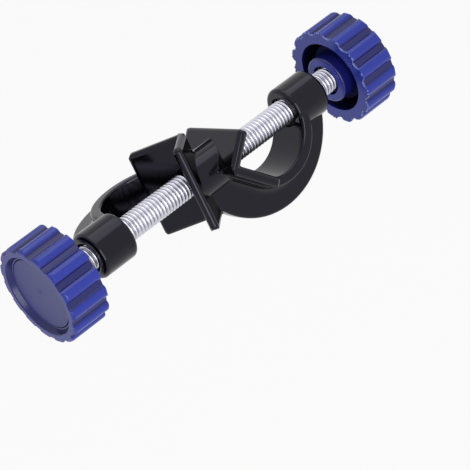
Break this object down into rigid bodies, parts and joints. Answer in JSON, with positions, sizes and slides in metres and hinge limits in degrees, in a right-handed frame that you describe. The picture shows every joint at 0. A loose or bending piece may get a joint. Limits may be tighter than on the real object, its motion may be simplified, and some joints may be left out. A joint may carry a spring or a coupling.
{
  "type": "boss head clamp",
  "caption": "Laboratory boss head: one casting with back-to-back V jaws at right angles, each closed by a knob screw, to fix a cross rod to a stand rod.",
  "frame": {"origin": "on the root line of the stand rod jaw, where the axis of the two screws meets it", "axes": "+X along both screws towards the cross rod knob, +Z along the groove of the stand rod jaw, +Y along the groove of the cross rod jaw"},
  "size_m": [0.1316, 0.0397, 0.0395],
  "materials": {
    "enamel": "gloss black enamel on a zinc casting",
    "plated_steel": "bright zinc plated thread",
    "knob_plastic": "glossy moulded cobalt blue",
    "cap_plastic": "satin moulded violet blue"
  },
  "bodies": {
    "casting": {"cast_body": "enamel"},
    "left_travel": {"left_cap": "cap_plastic"},
    "left_knob_screw": {"left_screw": "plated_steel", "left_knob": "knob_plastic"},
    "right_travel": {"right_cap": "cap_plastic"},
    "right_knob_screw": {"right_screw": "plated_steel", "right_knob": "knob_plastic"}
  },
  "joints": [
    {"name": "left_slide", "type": "slide", "parent": "casting", "child": "left_travel", "axis": [-1, 0, 0], "range_m": [0, 0.0201]},
    {"name": "left_turn", "type": "hinge", "parent": "left_travel", "child": "left_knob_screw", "pos_m": [-0.045, 0, 0], "axis": [-1, 0, 0], "range_deg": [0, 5760]},
    {"name": "right_slide", "type": "slide", "parent": "casting", "child": "right_travel", "axis": [1, 0, 0], "range_m": [0, 0.0201]},
    {"name": "right_turn", "type": "hinge", "parent": "right_travel", "child": "right_knob_screw", "pos_m": [0.055, 0, 0], "axis": [1, 0, 0], "range_deg": [0, 5760]}
  ],
  "couplings": [
    {"joint": "left_slide", "follows": "left_turn", "m_per_rad": 0.00019894},
    {"joint": "right_slide", "follows": "right_turn", "m_per_rad": 0.00019894}
  ]
}
